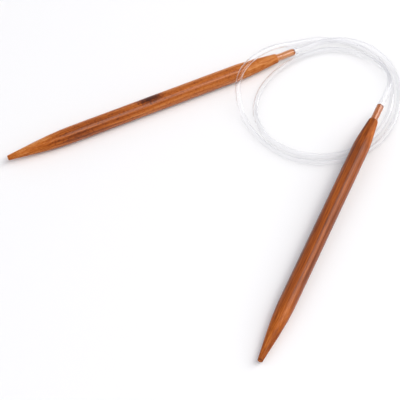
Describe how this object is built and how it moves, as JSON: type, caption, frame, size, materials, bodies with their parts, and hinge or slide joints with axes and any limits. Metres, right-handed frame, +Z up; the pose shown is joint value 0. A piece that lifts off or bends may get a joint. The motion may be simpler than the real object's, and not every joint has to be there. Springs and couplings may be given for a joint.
{
  "type": "circular knitting needle",
  "caption": "Circular knitting needle: 8 mm bamboo needle tips with tapered points, joined by a clear flexible tube lying in loose turns.",
  "frame": {"origin": "On the surface that the object lies on, under the middle of the box around the two needles.", "axes": "+Z is up. The left needle runs from lower X and Y to its stem at higher X and Y; the right needle's point is at the lowest Y. The tube lies at high X and high Y."},
  "size_m": [0.1864, 0.1851, 0.0116],
  "materials": {
    "bamboo": "satin",
    "clear_tube": "gloss"
  },
  "bodies": {
    "cable": {"cable_tube": "clear_tube"},
    "left_end": {"left_tube_end": "clear_tube"},
    "left_tip": {"left_needle": "bamboo"},
    "right_end": {"right_tube_end": "clear_tube"},
    "right_tip": {"right_needle": "bamboo"}
  },
  "joints": [
    {"name": "left_bend", "type": "hinge", "parent": "cable", "child": "left_end", "pos_m": [0.05164, 0.08876, 0.00399], "axis": [0, 0, 1], "range_deg": [-10, 4]},
    {"name": "left_twist", "type": "hinge", "parent": "left_end", "child": "left_tip", "pos_m": [0.04296, 0.08463, 0.00399], "axis": [0.903, 0.4297, 0], "range_deg": [-180, 180]},
    {"name": "right_bend", "type": "hinge", "parent": "cable", "child": "right_end", "pos_m": [0.08895, 0.05432, 0.00868], "axis": [0, 0, 1], "range_deg": [-15, 35]},
    {"name": "right_twist", "type": "hinge", "parent": "right_end", "child": "right_tip", "pos_m": [0.08516, 0.04552, 0.00831], "axis": [0.3953, 0.9178, 0.0384], "range_deg": [-180, 180]}
  ]
}
